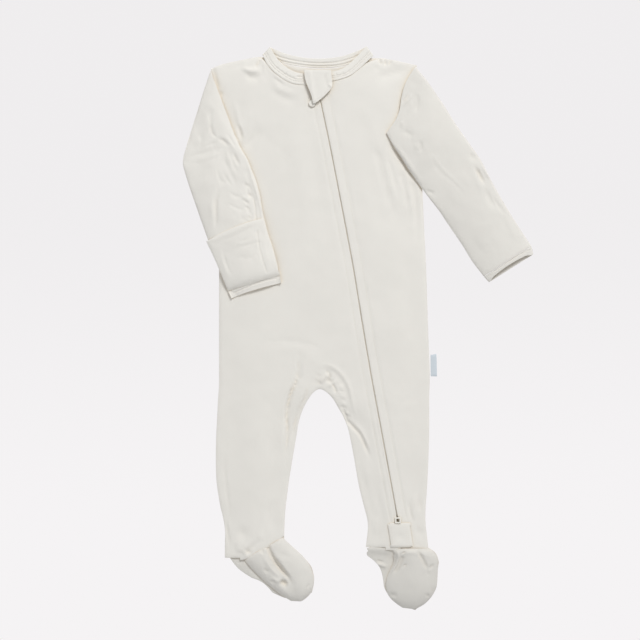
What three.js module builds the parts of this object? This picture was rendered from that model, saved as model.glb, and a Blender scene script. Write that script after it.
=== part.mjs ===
// Footed baby sleepsuit, laid flat on its back with both sleeves turned down.
// Millimetres. +X runs to the wearer's left, +Y to the neck, +Z up from the surface that it lies on.
// While the pieces are laid out, y = 0 is the crotch. The last lines move the whole to its own origin.

import * as THREE from 'three';

// ---------------------------------------------------------------- driving dimensions

const CLOTH = 1.0;            // wall of the jersey, hems and bindings
const SEAM_GAP = 0.35;        // clear space between two sewn pieces
const FRONT_RIM = 1.35;       // underside of the front along a side seam, just over the back
const FRONT_RISE = 2.3;       // how far the front stands off the back in the middle
const RISE_WIDTH = 35;        // distance from a side seam to the full rise
const SHOULDER_RISE = 30;     // the same, down from a shoulder seam
const FLOOR_FALL = 22;        // distance over which a sleeve comes down off the body to the floor
const ZIP_SLIT = 2.0;         // between the two folded front edges
const COIL_WIDTH = 3.8;
const TAPE_WIDTH = 9;
const TAPE_CLEAR = 0.35;      // coil to tape
const SLEEVE_RIM = 2.5;       // thickness of a flattened sleeve at its folded edges
const SLEEVE_FILL = 3.0;      // more in its middle
const FOOT_RIM = 1.35;        // underside of a foot's upper along its rim
const FOOT_CROWN = 6.0;       // more in the middle of the upper
const ANKLE_Y = -116;         // below this the leg rows fan out to the foot seams
const ARMHOLE_Y = 232;        // above this the body rows fan out to the neckline

const ON_FRONT = FRONT_RIM + FRONT_RISE + CLOTH + SEAM_GAP; // height of what lies on the front
const END_PATCH = { top: -141, bottom: -164, right: -11, left: 11.5, lean: 0.02 };

const COLOUR = {
  jersey: 0xe4e2dd, rib: 0xe6e4df, sole: 0xd8d5cf, tape: 0xe2ddd2,
  coil: 0xcdbf9f, plastic: 0xf1efe9, label: 0xcfd5dd,
};

// ---------------------------------------------------------------- tables

function table(columns, rows) {
  return rows.map((row) => Object.fromEntries(columns.map((name, i) => [name, row[i]])));
}

// Reads one column of a table at a value of another, in straight steps.
function read(rows, key, value, column) {
  const up = rows[0][key] < rows[rows.length - 1][key];
  const sorted = up ? rows : [...rows].reverse();
  let i = 0;
  while (i < sorted.length - 2 && sorted[i + 1][key] < value) i += 1;
  const a = sorted[i];
  const b = sorted[i + 1];
  const share = THREE.MathUtils.clamp((value - a[key]) / (b[key] - a[key]), 0, 1);
  return THREE.MathUtils.lerp(a[column], b[column], share);
}

// Edges of the body at each height: its outer sides, with the armholes at the top, and,
// below the crotch, the inside of each leg. Above it both inner columns are one guide line.
const BODY = table(['y', 'right', 'innerRight', 'innerLeft', 'left'], [
  [330, -113, -50, -50, 100],
  [300, -104.5, -45, -45, 87],
  [275, -95.5, -40, -40, 76],
  [258, -89, -36, -36, 70],
  [248, -88, -35, -35, 78],
  [240, -95, -34, -34, 95],
  [232, -105, -33, -33, 104],
  [160, -104.5, -20, -20, 107.5],
  [120, -104, -14, -14, 109.5],
  [55, -104, -6, -6, 111.5],
  [5, -104, -1.5, -1.5, 113.5],
  [0, -104, -0.5, -0.5, 113],
  [-6, -104.5, -8, 8, 112.5],
  [-12, -105, -12, 14, 112.5],
  [-22, -105.5, -18, 19, 112.5],
  [-34, -106, -22, 27, 112.5],
  [-50, -107, -24.5, 31, 112.5],
  [-80, -107.5, -29.5, 36.5, 111.5],
  [-102, -106.5, -33, 40, 110.5],
  [-127, -102, -36, 46.5, 108.5],
  [-143, -97, -37, 51, 108.5],
  [-160, -98, -37, 47.5, 111.5],
]);

// The zip, from the neck seam to its stop, and the seam that goes on below it.
const ZIP = table(['y', 'x'], [
  [313, -4], [295, 0.5], [245, 11], [185, 22.6], [125, 34], [59, 44.6],
  [12, 52.6], [-46, 63.4], [-136, 80], [-165, 84],
]);
const ZIP_TOP = 309;
const ZIP_END = -134;

// Top edges across the body: shoulder seams, then the neckline of the front and of the back.
const FRONT_TOP = table(['x', 'y'], [
  [-114, 327], [-105, 332], [-60, 341.5], [-51.5, 329], [-41, 320], [-29, 313], [-16.5, 312],
  [-4, 313], [12.5, 316], [20.5, 318], [31, 321], [43, 331], [55, 342], [99, 331.5],
]);
const BACK_TOP = table(['x', 'y'], [
  [-113, 327], [-105, 332], [-60, 341.5], [-41, 333.5], [-20, 329.5], [0, 328],
  [20, 329], [37, 334], [55, 342], [99, 331.5],
]);

// Foot seams across each leg.
const ANKLE = table(['x', 'y'], [[-100, -176], [-78, -176], [-38, -153.5], [40, -165], [115, -165]]);
const ANKLE_BACK = table(['x', 'y'], [[-100, -160], [-37, -160], [40, -165], [115, -165]]);

// Straight sections of the flattened sleeves, from the armhole seam to the cuff. The outer
// point is on the fold that carries on from the shoulder, the inner one on the underarm fold.
const SLEEVE_COLUMNS = ['outerX', 'outerY', 'innerX', 'innerY', 'armhole'];
const SLEEVE_RIGHT = table(SLEEVE_COLUMNS, [
  [-113, 326, -84, 249, true],
  [-120, 306, -79, 242],
  [-127, 284, -74, 234],
  [-135, 259, -70, 224],
  [-143, 232.5, -65, 212],
  [-137, 212, -61, 197],
  [-127, 183, -58, 178],
  [-116, 152, -53, 158],
  [-106, 129, -47, 141],
  [-94.6, 98.9, -40.7, 115.1],
]);
const CUFF_RIGHT = table(SLEEVE_COLUMNS, [
  [-94.3, 98.2, -40.7, 114.4],
  [-92.6, 94.4, -40.4, 110.7],
  [-91, 91, -40, 107],
]);
const SLEEVE_LEFT = table(SLEEVE_COLUMNS, [
  [99, 331, 68, 261, true],
  [113.5, 312, 75, 248],
  [127, 292.5, 83, 236],
  [139, 273, 91, 223],
  [153, 253, 99, 212],
  [166, 235, 110, 197],
  [176, 214.5, 123, 181],
  [188, 193, 134, 164],
  [199, 175, 146, 147],
  [209.5, 158.5, 156, 130],
  [218, 145.6, 168.5, 114],
]);
const CUFF_LEFT = table(SLEEVE_COLUMNS, [
  [218.3, 145, 168.9, 113.4],
  [219.4, 141.2, 171.4, 110.6],
  [220, 137, 174, 108],
]);

// Neck bindings: pairs of points on the seam and on the free edge.
const BAND_COLUMNS = ['seamX', 'seamY', 'freeX', 'freeY'];
const BAND_BACK = table(BAND_COLUMNS, [
  [-59.5, 342.5, -51.5, 350.5], [-41, 334.5, -38, 344], [-20, 330.5, -19, 339.5], [0, 329, 0, 338],
  [20, 330, 20, 340], [37, 335.2, 36, 345], [54.5, 343, 48, 351],
]);
const BAND_FRONT_RIGHT = table(BAND_COLUMNS, [
  [-60, 341, -51.5, 350.5], [-51.5, 328, -44.5, 337.5], [-41, 319, -35, 329], [-29, 312, -25, 323.5],
  [-16.5, 311, -15.5, 322.5], [-5.5, 311.5, -5.5, 322.5],
]);
const BAND_FRONT_LEFT = table(BAND_COLUMNS, [
  [55, 341.5, 48, 351], [43, 330, 36, 338.5], [31, 320, 26, 328.5], [20.5, 317, 17.5, 325.5],
  [12.5, 315, 10.5, 325], [-2.5, 312.5, -2.5, 323.5],
]);

// Cloth guard over the top of the zip: its width at each height.
const GUARD = table(['y', 'left', 'right'], [
  [326, -16, 11], [318, -16, 12], [309, -12.5, 13.5], [303, -9.8, 8], [297, -8, 2], [292, -7, -5],
]);

// Uppers of the feet: sections from the foot seam to the toe.
const UPPER_COLUMNS = ['aX', 'aY', 'bX', 'bY'];
const UPPER_RIGHT = table(UPPER_COLUMNS, [
  [-78.5, -177.5, -38.5, -155], [-72, -186, -27, -166], [-66, -192, -17, -174], [-60, -198, -9, -186],
  [-53, -204, -5.5, -198], [-46, -210, -7, -209], [-38, -215.5, -12, -216], [-30, -220.5, -19, -221],
]);
const UPPER_LEFT = table(UPPER_COLUMNS, [
  [71, -166.3, 113, -166.3], [75, -172.5, 121, -173], [77, -180, 122, -181], [72, -189, 121, -193],
  [67.5, -199, 121, -205], [68, -212, 117, -214], [74.5, -220.5, 108.5, -224], [85, -227.5, 98, -229],
]);

// Outlines of the soles, which show as a rim round the uppers and as the heel.
const SOLE_RIGHT = table(['x', 'y'], [
  [-97.5, -161], [-93, -176], [-85, -188], [-70, -197], [-58, -201], [-49, -212], [-26, -223],
  [-8.5, -212], [-5, -199], [-8.5, -186], [-18, -173], [-37, -161],
]);
const SOLE_LEFT = table(['x', 'y'], [
  [45.5, -166], [49, -174], [64, -185], [66, -206], [73, -221], [98, -230], [117.5, -214],
  [122.5, -181], [120.5, -171], [112, -166],
]);

// Largest folds: soft troughs from one point to another, in half width and depth.
const FOLD_COLUMNS = ['x0', 'y0', 'x1', 'y1', 'width', 'depth'];
const BODY_FOLDS = table(FOLD_COLUMNS, [
  [-76, 248, -58, 262, 12, 0.7],
  [65, 238, 76, 170, 12, 0.8],
  [-22, 48, -33, -20, 11, 0.8],
  [2, 8, 28, -36, 10, 0.8],
  [61, 316, 92, 330, 9, 0.6],
]);
const SLEEVE_FOLDS = table(FOLD_COLUMNS, [
  [-112, 270, -70, 200, 12, 1.0],
  [-141, 233, -99, 243, 9, 1.0],
  [-106, 194, -108, 163, 10, 0.8],
  [163, 227, 182, 188, 10, 1.0],
  [86, 292, 98, 305, 8, 0.7],
]);
const FOOT_FOLDS = table(FOLD_COLUMNS, [
  [-55, -163, -46, -182, 7, 2.0],
  [-46, -182, -28, -209, 6, 2.2],
  [102, -169, 112, -196, 6, 1.8],
  [84, -176, 80, -186, 6, 1.5],
]);

// ---------------------------------------------------------------- form

const soft = (value) => THREE.MathUtils.smoothstep(value, 0, 1);

function foldDepth(folds, x, y) {
  let depth = 0;
  for (const fold of folds) {
    const dx = fold.x1 - fold.x0;
    const dy = fold.y1 - fold.y0;
    const share = ((x - fold.x0) * dx + (y - fold.y0) * dy) / (dx * dx + dy * dy);
    const along = THREE.MathUtils.clamp(share, 0, 1);
    const away = Math.hypot(x - fold.x0 - along * dx, y - fold.y0 - along * dy);
    depth += fold.depth * Math.exp(-((away / fold.width) ** 2));
  }
  return depth;
}

// Distance inside the side seams, taken straight up past the armholes. Outside it is negative.
function insideBody(x, y) {
  const row = Math.min(y, ARMHOLE_Y);
  return x < 0 ? x - read(BODY, 'y', row, 'right') : read(BODY, 'y', row, 'left') - x;
}

function belowShoulder(x, y) {
  return 343 - 0.2 * Math.max(Math.abs(x) - 57, 0) - y;
}

// Top of the front without its folds. Below the crotch the inside of each leg is an edge too.
function frontSmooth(x, y) {
  let inside = insideBody(x, y);
  if (y < 0) {
    const leg = x < 0 ? read(BODY, 'y', y, 'innerRight') - x : x - read(BODY, 'y', y, 'innerLeft');
    const spread = soft(-y / 40);
    inside = Math.min(inside, THREE.MathUtils.lerp(RISE_WIDTH, Math.max(leg, 0), spread));
  }
  const rise = soft(inside / RISE_WIDTH) * soft(belowShoulder(x, y) / SHOULDER_RISE);
  return FRONT_RIM + CLOTH + FRONT_RISE * rise;
}

function frontTop(x, y) {
  return Math.max(frontSmooth(x, y) - foldDepth(BODY_FOLDS, x, y), FRONT_RIM + CLOTH);
}

// Underside of what lies on the body, and comes down to the floor beside it.
function rideHeight(x, y) {
  const outside = Math.max(-insideBody(x, y) - 2, 0);
  return (frontSmooth(x, y) + SEAM_GAP) * (1 - soft(outside / FLOOR_FALL));
}

// ---------------------------------------------------------------- closed walls

function closedGeometry(points, triangles) {
  let volume = 0;
  for (const [a, b, c] of triangles) {
    volume += points[a].dot(new THREE.Vector3().crossVectors(points[b], points[c]));
  }
  const order = volume < 0 ? triangles.map(([a, b, c]) => [a, c, b]) : triangles;
  const geometry = new THREE.BufferGeometry();
  const numbers = points.flatMap((p) => p.toArray());
  geometry.setAttribute('position', new THREE.Float32BufferAttribute(numbers, 3));
  geometry.setIndex(order.flat());
  geometry.computeVertexNormals();
  return geometry;
}

// One sheet of cloth. Each patch is a grid of points on its upper face, and patches that
// share an edge are joined there. The lower face is the same grid, one thickness down.
function sheet(patches, thickness = CLOTH) {
  const upper = [];
  const known = new Map();
  const number = (point) => {
    const key = point.toArray().map((v) => Math.round(v * 500)).join(' ');
    if (!known.has(key)) {
      known.set(key, upper.length);
      upper.push(point);
    }
    return known.get(key);
  };
  const faces = [];
  for (const rows of patches) {
    for (let i = 0; i < rows.length - 1; i += 1) {
      for (let j = 0; j < rows[i].length - 1; j += 1) {
        const [a, b, c, d] = [rows[i][j], rows[i + 1][j], rows[i + 1][j + 1], rows[i][j + 1]].map(number);
        if (a !== b && b !== c && a !== c) faces.push([a, b, c]);
        if (a !== c && c !== d && a !== d) faces.push([a, c, d]);
      }
    }
  }
  const count = upper.length;
  const lower = upper.map((p) => new THREE.Vector3(p.x, p.y, p.z - thickness));
  const edges = new Set(faces.flatMap(([a, b, c]) => [`${a} ${b}`, `${b} ${c}`, `${c} ${a}`]));
  const rim = [];
  for (const edge of edges) {
    const [a, b] = edge.split(' ').map(Number);
    if (!edges.has(`${b} ${a}`)) rim.push([b, a, a + count], [b, a + count, b + count]);
  }
  const under = faces.map(([a, b, c]) => [a + count, c + count, b + count]);
  return closedGeometry([...upper, ...lower], [...faces, ...under, ...rim]);
}

// An open tube with a wall: loops of points outside and inside, joined at both ends.
function tube(outerLoops, innerLoops) {
  const size = outerLoops[0].length;
  const rings = outerLoops.length;
  const points = [...outerLoops.flat(), ...innerLoops.flat()];
  const at = (side, ring, i) => (side * rings + ring) * size + (i % size);
  const triangles = [];
  const quad = (a, b, c, d) => triangles.push([a, b, c], [a, c, d]);
  for (let i = 0; i < size; i += 1) {
    for (let ring = 0; ring < rings - 1; ring += 1) {
      quad(at(0, ring, i), at(0, ring, i + 1), at(0, ring + 1, i + 1), at(0, ring + 1, i));
      quad(at(1, ring, i + 1), at(1, ring, i), at(1, ring + 1, i), at(1, ring + 1, i + 1));
    }
    quad(at(0, 0, i + 1), at(0, 0, i), at(1, 0, i), at(1, 0, i + 1));
    quad(at(0, rings - 1, i), at(0, rings - 1, i + 1), at(1, rings - 1, i + 1), at(1, rings - 1, i));
  }
  return closedGeometry(points, triangles);
}

function flatPiece(outline, bottom, thickness) {
  const shape = new THREE.Shape(outline);
  const geometry = new THREE.ExtrudeGeometry(shape, { depth: thickness, bevelEnabled: false });
  geometry.translate(0, 0, bottom);
  return geometry;
}

const steps = (from, to, count) => (
  Array.from({ length: count + 1 }, (_, i) => from + ((to - from) * i) / count)
);

// ---------------------------------------------------------------- body panels

// Rows of a panel, from its top edge to its foot seams. Each gives its height at a place x.
const STRAIGHT_ROWS = [
  218, 203, 188, 172, 156, 140, 123, 106, 89, 72, 55, 40, 26, 12, 0, -6, -12, -22, -34, -50, -66, -83, -100,
];

function panelRows(top, ankle) {
  return [
    ...steps(1, 0, 7).map((share) => ({
      start: 300,
      at: (x) => ARMHOLE_Y + share * (read(top, 'x', x, 'y') - ARMHOLE_Y),
    })),
    ...STRAIGHT_ROWS.map((y) => ({ start: y, at: () => y })),
    ...steps(0, 1, 4).map((share) => ({
      start: ANKLE_Y,
      at: (x) => ANKLE_Y + share * (read(ankle, 'x', x, 'y') - ANKLE_Y),
    })),
  ];
}

// Grid of points between two edges, each a function of y.
function panelPatch(rows, edgeA, edgeB, columns, heightAt) {
  return rows.map((row) => steps(0, 1, columns).map((share) => {
    let y = row.start;
    let x = 0;
    for (let pass = 0; pass < 8; pass += 1) {
      x = THREE.MathUtils.lerp(edgeA(y), edgeB(y), share);
      y = row.at(x);
    }
    return new THREE.Vector3(x, y, heightAt(x, y));
  }));
}

const bodyEdge = (column) => (y) => read(BODY, 'y', y, column);
const zipLine = (y) => read(ZIP, 'y', y, 'x');

function frontRight() {
  const rows = panelRows(FRONT_TOP, ANKLE);
  const zipEdge = (y) => zipLine(y) - ZIP_SLIT / 2;
  return sheet([
    panelPatch(rows, bodyEdge('right'), bodyEdge('innerRight'), 6, frontTop),
    panelPatch(rows, bodyEdge('innerLeft'), zipEdge, 4, frontTop),
  ]);
}

function frontLeft() {
  const zipEdge = (y) => zipLine(y) + ZIP_SLIT / 2;
  return sheet([panelPatch(panelRows(FRONT_TOP, ANKLE), zipEdge, bodyEdge('left'), 6, frontTop)]);
}

function backPanel() {
  const rows = panelRows(BACK_TOP, ANKLE_BACK);
  return sheet([
    panelPatch(rows, bodyEdge('right'), bodyEdge('innerRight'), 6, () => CLOTH),
    panelPatch(rows, bodyEdge('innerLeft'), bodyEdge('left'), 9, () => CLOTH),
  ]);
}

// ---------------------------------------------------------------- sleeves

// A point on a flattened sleeve: ring by ring, across from its outer fold (0) to its inner one (1).
// It lies flat where it starts at the armhole seam, and fills out over the next sections.
function sleevePoint(rings, ring, across) {
  const i = Math.min(Math.floor(ring), rings.length - 2);
  const share = ring - i;
  const mix = (column) => THREE.MathUtils.lerp(rings[i][column], rings[i + 1][column], share);
  const x = THREE.MathUtils.lerp(mix('outerX'), mix('innerX'), across);
  const y = THREE.MathUtils.lerp(mix('outerY'), mix('innerY'), across);
  const bulge = Math.sin(Math.PI * THREE.MathUtils.clamp(across, 0, 1));
  const open = rings[0].armhole ? soft(ring / 2) : 1;
  const fill = open * Math.max(SLEEVE_FILL * bulge ** 0.7 - foldDepth(SLEEVE_FOLDS, x, y) * bulge, 0);
  const low = rideHeight(x, y);
  return { x, y, low, high: low + SLEEVE_RIM + fill };
}

function sleeveTube(rings, across = 7, ringsPerRow = 2) {
  const outer = [];
  const inner = [];
  for (const number of steps(0, rings.length - 1, (rings.length - 1) * ringsPerRow)) {
    const ring = rings[Math.round(number)];
    const width = Math.hypot(ring.innerX - ring.outerX, ring.innerY - ring.outerY);
    const loop = (inset, lift) => {
      const shares = steps(inset / width, 1 - inset / width, across);
      const places = shares.map((u) => sleevePoint(rings, number, u));
      return [
        ...places.map((p) => new THREE.Vector3(p.x, p.y, p.low + lift)),
        ...places.reverse().map((p) => new THREE.Vector3(p.x, p.y, p.high - lift)),
      ];
    };
    outer.push(loop(0, 0));
    inner.push(loop(CLOTH, CLOTH));
  }
  return tube(outer, inner);
}

// The fold-over mitten lies on the end of the right sleeve.
function mittenFlap() {
  const across = 8;
  const last = SLEEVE_RIGHT.length - 1;
  const rows = steps(0, 1, 5).map((down) => steps(-0.03 * (1 - down), 0.985, across).map((u) => {
    const start = THREE.MathUtils.lerp(7.05, 6.2, u);
    const place = sleevePoint(SLEEVE_RIGHT, THREE.MathUtils.lerp(start, last, down), u);
    return new THREE.Vector3(place.x, place.y, place.high + SEAM_GAP + CLOTH);
  }));
  return sheet([rows]);
}

// ---------------------------------------------------------------- neck

function neckBand(pairs, topOf) {
  const rows = pairs.map((pair) => steps(0, 1, 2).map((share) => {
    const x = THREE.MathUtils.lerp(pair.seamX, pair.freeX, share);
    const y = THREE.MathUtils.lerp(pair.seamY, pair.freeY, share);
    return new THREE.Vector3(x, y, topOf(x, y));
  }));
  return sheet([rows]);
}

const onFront = (x, y) => frontSmooth(x, y) + SEAM_GAP + CLOTH;

// ---------------------------------------------------------------- zip

const ZIP_ROWS = steps(ZIP_TOP, ZIP_END, 26);

function zipStrip(offsets, drop, thickness) {
  const rows = ZIP_ROWS.map((y) => offsets.map((offset) => {
    const x = zipLine(y) + offset;
    return new THREE.Vector3(x, y, frontTop(x, y) - CLOTH - drop);
  }));
  return sheet([rows], thickness);
}

const TAPE_INNER = COIL_WIDTH / 2 + TAPE_CLEAR;
const SLIDER = { width: 8, length: 9, height: 2.2, y: 304.5 };

function slider() {
  const half = SLIDER.width / 2;
  const x0 = zipLine(SLIDER.y);
  const y0 = SLIDER.y - SLIDER.length / 2;
  const outline = [
    [-half, 0.5], [-half * 0.6, 1], [half * 0.6, 1], [half, 0.5], [half * 0.55, 0], [-half * 0.55, 0],
  ].map(([x, share]) => new THREE.Vector2(x0 + x, y0 + share * SLIDER.length));
  return flatPiece(outline, ON_FRONT, SLIDER.height);
}

// The pull hangs from the slider under the guard, with its rounded end just showing.
const PULL = { topX: -4.2, topY: 297.8, endX: -8, endY: 292, width: 7, height: 1.2 };

function pull() {
  const axis = new THREE.Vector2(PULL.endX - PULL.topX, PULL.endY - PULL.topY).normalize();
  const side = new THREE.Vector2(-axis.y, axis.x);
  const from = new THREE.Vector2(PULL.topX, PULL.topY);
  const to = new THREE.Vector2(PULL.endX, PULL.endY);
  const half = PULL.width / 2;
  const round = steps(0, Math.PI, 8).map((turn) => to.clone()
    .addScaledVector(side, half * Math.cos(turn)).addScaledVector(axis, half * Math.sin(turn)));
  const narrow = [half * 0.6, -half * 0.6].map((x) => from.clone().addScaledVector(side, x));
  return flatPiece([narrow[0], ...round, narrow[1]], ON_FRONT, PULL.height);
}

function guard() {
  const height = ON_FRONT + SLIDER.height + SEAM_GAP + CLOTH;
  const rows = GUARD.map((row) => (
    steps(row.left, row.right, 4).map((x) => new THREE.Vector3(x, row.y, height))
  ));
  return sheet([rows]);
}

// Bottom stop: a small moulded frame round a square eye, on the end of the zip.
function zipStop() {
  const y = ZIP_END - 3;
  const x = zipLine(y);
  const square = (half) => [[-half, -half], [half, -half], [half, half], [-half, half]]
    .map(([dx, dy]) => new THREE.Vector2(x + dx, y + dy));
  const shape = new THREE.Shape(square(3));
  shape.holes.push(new THREE.Path(square(1.7)));
  const geometry = new THREE.ExtrudeGeometry(shape, { depth: 1.6, bevelEnabled: false });
  geometry.translate(0, 0, frontSmooth(x, y) + SEAM_GAP);
  return geometry;
}

// Patch that closes the end of the zip, down to the foot seam.
function endPatch() {
  const { top, bottom, right, left, lean } = END_PATCH;
  const rows = steps(top, bottom, 3).map((y) => steps(right, left, 3).map((offset) => {
    const x = zipLine(y) + offset - (y - top) * lean;
    return new THREE.Vector3(x, y, frontSmooth(x, y) + SEAM_GAP + CLOTH);
  }));
  return sheet([rows]);
}

// ---------------------------------------------------------------- feet

function footUpper(sections) {
  const columns = 8;
  const last = sections.length - 1;
  const rows = sections.map((section, i) => steps(0, 1, columns).map((share) => {
    const x = THREE.MathUtils.lerp(section.aX, section.bX, share);
    const y = THREE.MathUtils.lerp(section.aY, section.bY, share);
    const along = Math.min(1, 1.6 * Math.sin((Math.PI * (i + 1.2)) / (last + 1.2)));
    const middle = Math.sin(Math.PI * share);
    const crown = FOOT_CROWN * Math.max(along, 0) * middle ** 0.6;
    const rise = Math.max(crown - foldDepth(FOOT_FOLDS, x, y) * middle, 0);
    return new THREE.Vector3(x, y, FOOT_RIM + CLOTH + rise);
  }));
  return sheet([rows]);
}

function sole(outline) {
  return flatPiece(outline.map((row) => new THREE.Vector2(row.x, row.y)), 0, CLOTH);
}

// ---------------------------------------------------------------- label

function sideLabel() {
  const corners = [[114.2, 33], [120, 34], [120.6, 11], [114.4, 11.2]];
  return flatPiece(corners.map(([x, y]) => new THREE.Vector2(x, y)), 0, CLOTH);
}

// ---------------------------------------------------------------- the garment

const garment = new THREE.Group();

function add(name, geometry, colour, roughness = 0.95) {
  const material = new THREE.MeshStandardMaterial({ color: colour, roughness, metalness: 0 });
  const mesh = new THREE.Mesh(geometry, material);
  mesh.name = name;
  garment.add(mesh);
}

add('back_panel', backPanel(), COLOUR.jersey);
add('front_right', frontRight(), COLOUR.jersey);
add('front_left', frontLeft(), COLOUR.jersey);
add('sleeve_right', sleeveTube(SLEEVE_RIGHT), COLOUR.jersey);
add('sleeve_left', sleeveTube(SLEEVE_LEFT), COLOUR.jersey);
add('cuff_band_right', sleeveTube(CUFF_RIGHT, 7, 1), COLOUR.jersey);
add('cuff_band_left', sleeveTube(CUFF_LEFT, 7, 1), COLOUR.jersey);
add('mitten_flap_right', mittenFlap(), COLOUR.jersey);
add('neck_band_back', neckBand(BAND_BACK, () => CLOTH), COLOUR.rib);
add('neck_band_front_right', neckBand(BAND_FRONT_RIGHT, onFront), COLOUR.rib);
add('neck_band_front_left', neckBand(BAND_FRONT_LEFT, onFront), COLOUR.rib);
add('zip_tape_right', zipStrip([-TAPE_INNER - TAPE_WIDTH, -TAPE_INNER], SEAM_GAP, CLOTH), COLOUR.tape);
add('zip_tape_left', zipStrip([TAPE_INNER, TAPE_INNER + TAPE_WIDTH], SEAM_GAP, CLOTH), COLOUR.tape);
add('zip_coil', zipStrip([-COIL_WIDTH / 2, COIL_WIDTH / 2], SEAM_GAP, 1.3), COLOUR.coil, 0.5);
add('zip_slider', slider(), COLOUR.plastic, 0.45);
add('zip_pull', pull(), COLOUR.plastic, 0.5);
add('zip_guard', guard(), COLOUR.jersey);
add('zip_stop', zipStop(), COLOUR.plastic, 0.4);
add('zip_end_patch', endPatch(), COLOUR.jersey);
add('foot_upper_right', footUpper(UPPER_RIGHT), COLOUR.jersey);
add('foot_upper_left', footUpper(UPPER_LEFT), COLOUR.jersey);
add('foot_sole_right', sole(SOLE_RIGHT), COLOUR.sole);
add('foot_sole_left', sole(SOLE_LEFT), COLOUR.sole);
add('side_label', sideLabel(), COLOUR.label, 0.6);

// The origin is the middle of the underside of the whole.
const bounds = new THREE.Box3().setFromObject(garment);
const middle = bounds.getCenter(new THREE.Vector3());
garment.position.set(-middle.x, -middle.y, -bounds.min.z);
garment.updateMatrixWorld(true);

export default garment;
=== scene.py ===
# %% [markdown]
# # A footed baby sleepsuit, laid flat
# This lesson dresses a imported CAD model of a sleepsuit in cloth. The CAD holds every cut piece as a
# plain wall in its true place. Here each piece gets soft edges, creases, seams, stitches and a knit.
# Every piece stays in its place: only seams and cuff mouths shift, by 5 mm at most. Places on the
# garment are in millimetres from the crotch seam, where +X is the wearer's left and +Y runs up to
# the neck, because a maker measures a garment that way.

import math

import bmesh
import bpy
import numpy as np
from mathutils import Matrix, Vector, noise
from mathutils.bvhtree import BVHTree
from mathutils.kdtree import KDTree


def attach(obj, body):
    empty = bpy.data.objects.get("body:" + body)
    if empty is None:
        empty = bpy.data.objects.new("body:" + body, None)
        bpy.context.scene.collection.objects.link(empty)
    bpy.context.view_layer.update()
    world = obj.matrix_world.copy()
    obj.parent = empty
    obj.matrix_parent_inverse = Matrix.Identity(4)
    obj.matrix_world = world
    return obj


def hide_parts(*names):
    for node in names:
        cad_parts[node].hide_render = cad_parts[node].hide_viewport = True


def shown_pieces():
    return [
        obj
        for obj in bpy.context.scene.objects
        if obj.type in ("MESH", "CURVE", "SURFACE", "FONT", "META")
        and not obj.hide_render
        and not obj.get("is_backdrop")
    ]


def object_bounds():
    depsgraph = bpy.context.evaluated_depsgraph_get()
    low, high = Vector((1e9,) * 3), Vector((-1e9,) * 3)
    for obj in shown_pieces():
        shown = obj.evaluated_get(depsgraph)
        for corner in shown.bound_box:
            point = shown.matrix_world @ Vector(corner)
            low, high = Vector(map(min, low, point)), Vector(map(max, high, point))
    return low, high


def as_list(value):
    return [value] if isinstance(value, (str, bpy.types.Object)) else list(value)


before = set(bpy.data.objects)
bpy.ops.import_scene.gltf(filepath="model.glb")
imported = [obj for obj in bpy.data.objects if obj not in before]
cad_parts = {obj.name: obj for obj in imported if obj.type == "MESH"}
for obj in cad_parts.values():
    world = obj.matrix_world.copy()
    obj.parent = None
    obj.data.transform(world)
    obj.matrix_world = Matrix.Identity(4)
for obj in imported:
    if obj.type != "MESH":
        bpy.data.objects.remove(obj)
cad_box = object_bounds()
print("CAD box, mm:", [round(v * 1000, 1) for corner in cad_box for v in corner])

# %% [markdown]
# ## Where the crotch is
# Every measure on the garment starts at the crotch seam. The garment's box gives it: the garment
# reaches 143 mm to the wearer's right of the crotch, and 230 mm down to the toes.

# %% Garment measures
MM = 0.001
RIGHT_OF_CROTCH = 143 * MM
BELOW_CROTCH = 230 * MM
CROTCH = Vector((cad_box[0].x + RIGHT_OF_CROTCH, cad_box[0].y + BELOW_CROTCH, 0))
print("crotch seam at, mm:", [round(v * 1000, 1) for v in CROTCH])


def place(x, y, z=0.0):
    """A point given in millimetres from the crotch, in the frame's metres."""
    return CROTCH + Vector((x, y, z)) * MM


# %% [markdown]
# ## The cloth: one skin from each CAD wall
# A real panel is one layer of jersey. Its CAD stand-in is a closed wall, so the upper skin is kept
# and the rest is cut away: a face stays if nothing of the same piece lies over it. A sleeve is a
# flattened tube, so it keeps its lower skin too, and the folded edges between them. Pairs of
# triangles become squares again, and a subdivision surface rounds them. It could also be modelled
# from a new grid, but then its outline would have to be fitted to the frame by hand.


# %% A helper that takes the skin of a node
SAME_POINT = 1e-6
CLEAR_OF_FACE = 1e-5
FACES_OUT = 0.2


def node_mesh(node):
    """A merged copy of a CAD node's loose triangles."""
    bm = bmesh.new()
    bm.from_mesh(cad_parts[node].data)
    bmesh.ops.remove_doubles(bm, verts=bm.verts, dist=SAME_POINT)
    return bm


def skin(node, tube=False):
    """The node's upper skin, or on a tube both of its skins and the folds between them."""
    bm = node_mesh(node)
    bm.normal_update()
    tree = BVHTree.FromBMesh(bm)
    kept = set()
    for face in bm.faces:
        for way in (1, -1) if tube else (1,):
            start = face.calc_center_median() + Vector((0, 0, way * CLEAR_OF_FACE))
            if face.normal.z * way > FACES_OUT and tree.ray_cast(start, Vector((0, 0, way)))[0] is None:
                kept.add(face)
    if tube:
        on_skin = {v for face in kept for v in face.verts}
        kept |= {face for face in bm.faces if all(v in on_skin for v in face.verts)}
    bmesh.ops.delete(bm, geom=[f for f in bm.faces if f not in kept], context="FACES")
    bmesh.ops.join_triangles(
        bm, faces=bm.faces, angle_face_threshold=math.pi, angle_shape_threshold=math.pi
    )
    return bm


def new_object(name, bm):
    mesh = bpy.data.meshes.new(name)
    bm.to_mesh(mesh)
    bm.free()
    obj = bpy.data.objects.new(name, mesh)
    bpy.context.collection.objects.link(obj)
    return obj


def smooth_faces(mesh):
    mesh.polygons.foreach_set("use_smooth", [True] * len(mesh.polygons))


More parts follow.
